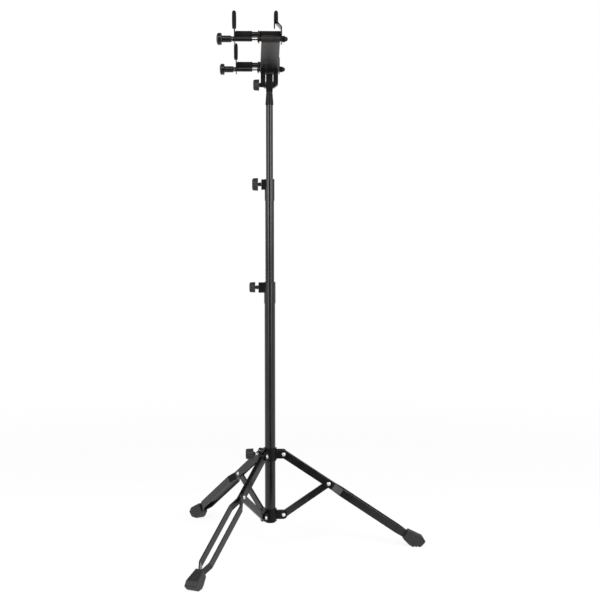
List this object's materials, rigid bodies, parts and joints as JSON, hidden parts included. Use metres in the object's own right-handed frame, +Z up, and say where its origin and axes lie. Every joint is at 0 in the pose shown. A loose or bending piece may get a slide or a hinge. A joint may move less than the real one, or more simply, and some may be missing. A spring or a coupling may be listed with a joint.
{
  "type": "guitar stand",
  "caption": "Folding tripod guitar stand with a telescoping pole and a tilting arm that carries two adjustable padded cradles for the guitar's body.",
  "frame": {"origin": "on the floor under the pole's axis", "axes": "+Z up the pole, +X along the cradle bars towards the end caps and nearly along the right leg, the arm reaches towards -Y"},
  "size_m": [0.6224, 0.7055, 1.3275],
  "materials": {
    "black_paint": "satin black paint",
    "black_plastic": "moulded black",
    "knob_plastic": "fine texture",
    "nylon": "smooth",
    "nickel": "bright plated",
    "chrome": "polished",
    "rubber": "matt moulded",
    "foam": "closed cell foam"
  },
  "bodies": {
    "base": {"lower_tube": "black_paint", "tube_plug": "black_plastic", "base_collar": "black_plastic", "base_rivets": "nickel", "lower_clutch": "black_plastic", "lower_bush": "nylon"},
    "leg_collar": {"leg_collar": "black_plastic", "collar_rivets": "nickel"},
    "leg_lock": {"leg_lock_knob": "knob_plastic", "leg_lock_screw": "nickel"},
    "lower_clutch_knob": {"lower_clutch_knob": "knob_plastic", "lower_clutch_screw": "nickel"},
    "mid_tube": {"mid_tube": "black_paint", "mid_guide": "nylon", "upper_clutch": "black_plastic", "upper_bush": "nylon"},
    "upper_clutch_knob": {"upper_clutch_knob": "knob_plastic", "upper_clutch_screw": "nickel"},
    "upper_guide": {"upper_guide": "nylon"},
    "upper_tube": {"upper_tube": "black_paint", "tilt_post": "black_plastic"},
    "head": {"tilt_yoke": "black_plastic", "arm": "black_paint", "arm_screws": "nickel", "end_caps": "black_plastic", "near_clamp_tube": "black_paint", "near_fixed_hook": "black_paint", "near_fixed_pad": "foam", "near_fixed_rest_foam": "foam", "far_clamp_tube": "black_paint", "far_fixed_hook": "black_paint", "far_fixed_pad": "foam", "far_fixed_rest_foam": "foam"},
    "tilt_knob": {"tilt_knob": "knob_plastic", "tilt_bolt": "nickel"},
    "right_strut": {"right_strut": "black_paint"},
    "right_leg": {"right_leg_bars": "black_paint", "right_leg_rivet": "nickel", "right_foot": "rubber"},
    "rear_strut": {"rear_strut": "black_paint"},
    "rear_leg": {"rear_leg_bars": "black_paint", "rear_leg_rivet": "nickel", "rear_foot": "rubber"},
    "front_strut": {"front_strut": "black_paint"},
    "front_leg": {"front_leg_bars": "black_paint", "front_leg_rivet": "nickel", "front_foot": "rubber"},
    "near_jaw": {"near_slide_tube": "black_paint", "near_slide_rod": "chrome", "near_sliding_hook": "black_paint", "near_sliding_pad": "foam", "near_sliding_rest_foam": "foam"},
    "near_handle": {"near_handle": "black_plastic"},
    "far_jaw": {"far_slide_tube": "black_paint", "far_slide_rod": "chrome", "far_sliding_hook": "black_paint", "far_sliding_pad": "foam", "far_sliding_rest_foam": "foam"},
    "far_handle": {"far_handle": "black_plastic"}
  },
  "joints": [
    {"name": "right_strut_fold", "type": "hinge", "parent": "base", "child": "right_strut", "pos_m": [0.03398, 0.00107, 0.08867], "axis": [0.0314, -0.9995, 0], "range_deg": [0, 48]},
    {"name": "right_leg_fold", "type": "hinge", "parent": "right_strut", "child": "right_leg", "pos_m": [0.14958, 0.0047, 0.16756], "axis": [0.0314, -0.9995, 0], "range_deg": [-96, 0]},
    {"name": "rear_strut_fold", "type": "hinge", "parent": "base", "child": "rear_strut", "pos_m": [-0.01792, 0.0289, 0.08867], "axis": [0.8499, 0.527, 0], "range_deg": [0, 48]},
    {"name": "rear_leg_fold", "type": "hinge", "parent": "rear_strut", "child": "rear_leg", "pos_m": [-0.07886, 0.12719, 0.16756], "axis": [0.8499, 0.527, 0], "range_deg": [-96, 0]},
    {"name": "front_strut_fold", "type": "hinge", "parent": "base", "child": "front_strut", "pos_m": [-0.01607, -0.02996, 0.08867], "axis": [-0.8813, 0.4726, 0], "range_deg": [0, 48]},
    {"name": "front_leg_fold", "type": "hinge", "parent": "front_strut", "child": "front_leg", "pos_m": [-0.07072, -0.13189, 0.16756], "axis": [-0.8813, 0.4726, 0], "range_deg": [-96, 0]},
    {"name": "leg_collar_level", "type": "hinge", "parent": "right_leg", "child": "leg_collar", "pos_m": [0.03398, 0.00107, 0.24646], "axis": [0.0314, -0.9995, 0], "range_deg": [0, 48]},
    {"name": "leg_lock_turn", "type": "hinge", "parent": "leg_collar", "child": "leg_lock", "pos_m": [-0.04, 0, 0.24646], "axis": [-1, 0, 0], "range_deg": [0, 540]},
    {"name": "lower_clutch_turn", "type": "hinge", "parent": "base", "child": "lower_clutch_knob", "pos_m": [-0.04, 0, 0.6725], "axis": [-1, 0, 0], "range_deg": [0, 540]},
    {"name": "mid_slide", "type": "slide", "parent": "base", "child": "mid_tube", "axis": [0, 0, 1], "range_m": [-0.2, 0.09]},
    {"name": "upper_clutch_turn", "type": "hinge", "parent": "mid_tube", "child": "upper_clutch_knob", "pos_m": [-0.035, 0, 0.9305], "axis": [-1, 0, 0], "range_deg": [0, 540]},
    {"name": "upper_slide", "type": "slide", "parent": "mid_tube", "child": "upper_guide", "axis": [0, 0, 1], "range_m": [-0.18, 0.09]},
    {"name": "head_swivel", "type": "hinge", "parent": "upper_guide", "child": "upper_tube", "pos_m": [0, 0, 0.727], "axis": [0, 0, 1], "continuous": true},
    {"name": "head_tilt", "type": "hinge", "parent": "upper_tube", "child": "head", "pos_m": [0, 0, 1.176], "axis": [1, 0, 0], "range_deg": [-45, 60]},
    {"name": "tilt_knob_turn", "type": "hinge", "parent": "head", "child": "tilt_knob", "pos_m": [-0.03, 0, 1.176], "axis": [-1, 0, 0], "range_deg": [0, 540]},
    {"name": "near_width_slide", "type": "slide", "parent": "head", "child": "near_jaw", "axis": [-1, 0, 0], "range_m": [-0.01, 0.026]},
    {"name": "near_handle_turn", "type": "hinge", "parent": "near_jaw", "child": "near_handle", "pos_m": [-0.085, -0.25921, 1.26244], "axis": [-1, 0, 0], "range_deg": [0, 540]},
    {"name": "far_width_slide", "type": "slide", "parent": "head", "child": "far_jaw", "axis": [-1, 0, 0], "range_m": [-0.01, 0.026]},
    {"name": "far_handle_turn", "type": "hinge", "parent": "far_jaw", "child": "far_handle", "pos_m": [-0.085, 0.01686, 1.21574], "axis": [-1, 0, 0], "range_deg": [0, 540]}
  ],
  "couplings": [
    {"joint": "right_leg_fold", "follows": "right_strut_fold", "ratio": -2},
    {"joint": "rear_strut_fold", "follows": "right_strut_fold", "ratio": 1},
    {"joint": "rear_leg_fold", "follows": "right_strut_fold", "ratio": -2},
    {"joint": "front_strut_fold", "follows": "right_strut_fold", "ratio": 1},
    {"joint": "front_leg_fold", "follows": "right_strut_fold", "ratio": -2},
    {"joint": "leg_collar_level", "follows": "right_strut_fold", "ratio": 1}
  ]
}
